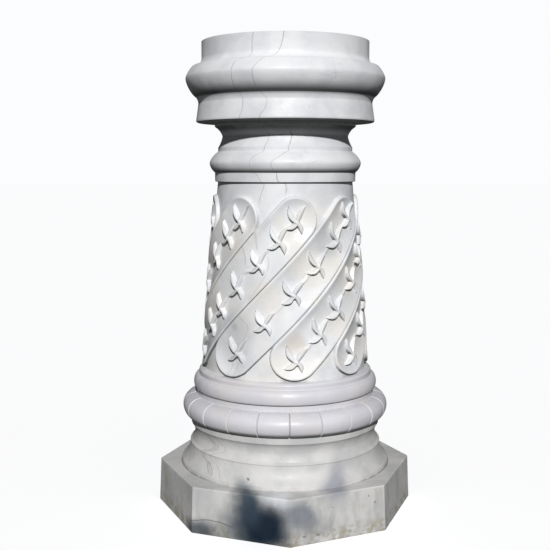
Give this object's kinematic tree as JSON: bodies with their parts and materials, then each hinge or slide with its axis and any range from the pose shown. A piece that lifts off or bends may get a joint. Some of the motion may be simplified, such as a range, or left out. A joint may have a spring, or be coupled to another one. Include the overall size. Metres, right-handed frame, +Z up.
{
  "type": "carved marble pedestal column",
  "caption": "Free-standing carved marble column: octagonal plinth, lobed torus, tapering shaft with slanting flower panels, round moulded capital with a flat top.",
  "frame": {"origin": "middle of the column's underside, on the ground", "axes": "+Z up along the column's axis, -Y towards the plinth corner that faces the viewer"},
  "size_m": [0.5592, 0.5592, 1],
  "materials": {
    "base_marble": "honed white marble with a dark blue-grey cloud, greyish and a little yellowed at its lower edge",
    "shaft_marble": "honed white marble with thin grey veins"
  },
  "bodies": {
    "root": {"base_block": "base_marble", "shaft_block": "shaft_marble"}
  },
  "joints": []
}
